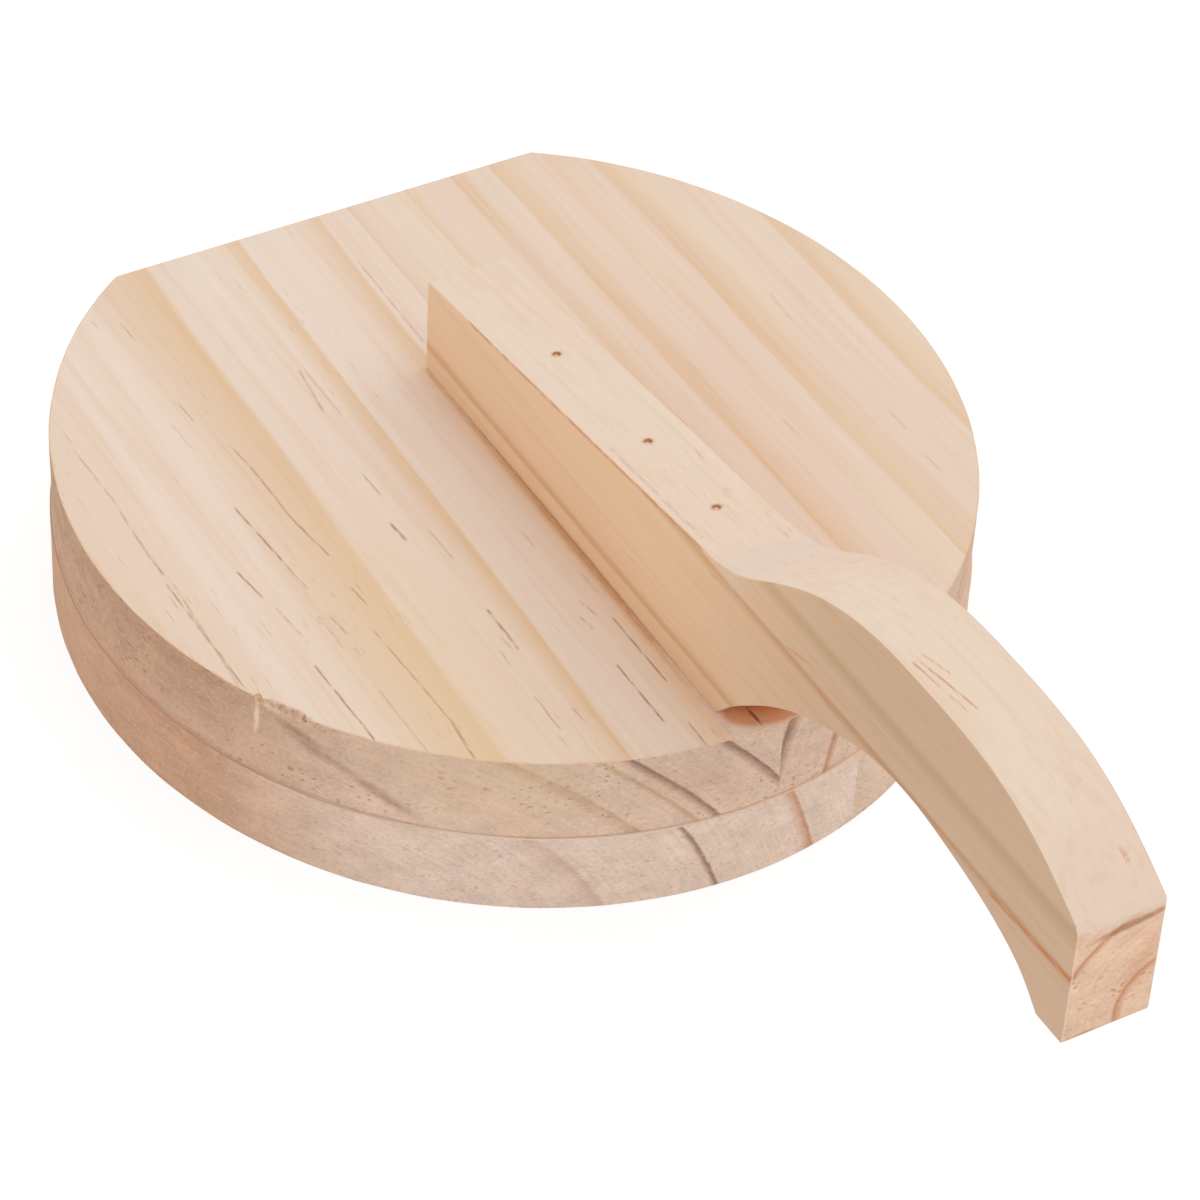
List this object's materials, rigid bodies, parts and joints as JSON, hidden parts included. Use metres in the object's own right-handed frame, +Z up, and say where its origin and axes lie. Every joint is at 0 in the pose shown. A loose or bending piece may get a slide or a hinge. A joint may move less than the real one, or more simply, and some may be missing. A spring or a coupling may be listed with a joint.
{
  "type": "tortilla press",
  "caption": "Hand press for tortillas: round pine boards hinged along a flat rear edge, pressed shut with a curved gooseneck handle fixed on the lid.",
  "frame": {"origin": "centre of the oval boards on the underside of the lower board", "axes": "+X to the right with the handle pointing at the viewer, +Y from the handle towards the hinges, +Z up"},
  "size_m": [0.201, 0.3146, 0.1042],
  "materials": {
    "board_pine": "planed, unfinished pale pine, sawn end grain on the walls",
    "handle_pine": "sanded, unfinished pale pine",
    "hinge_steel": "zinc-plated pressed steel",
    "pin_steel": "plain steel wire",
    "screw_steel": "zinc-plated steel",
    "nail_steel": "dull wire steel, slightly stained"
  },
  "bodies": {
    "base": {"lower_board_left_stave": "board_pine", "lower_board_right_stave": "board_pine", "left_hinge_lower_leaf": "hinge_steel", "right_hinge_lower_leaf": "hinge_steel", "left_hinge_pin": "pin_steel", "right_hinge_pin": "pin_steel", "left_hinge_lower_outer_screw": "screw_steel", "left_hinge_lower_inner_screw": "screw_steel", "right_hinge_lower_outer_screw": "screw_steel", "right_hinge_lower_inner_screw": "screw_steel"},
    "lid": {"upper_board_left_stave": "board_pine", "upper_board_right_stave": "board_pine", "handle": "handle_pine", "rear_handle_nail": "nail_steel", "middle_handle_nail": "nail_steel", "front_handle_nail": "nail_steel", "left_hinge_upper_leaf": "hinge_steel", "right_hinge_upper_leaf": "hinge_steel", "left_hinge_upper_outer_screw": "screw_steel", "left_hinge_upper_inner_screw": "screw_steel", "right_hinge_upper_outer_screw": "screw_steel", "right_hinge_upper_inner_screw": "screw_steel"}
  },
  "joints": [
    {"name": "lid_hinge", "type": "hinge", "parent": "base", "child": "lid", "pos_m": [0, 0.09185, 0.02], "axis": [-1, 0, 0], "range_deg": [0, 155]}
  ]
}
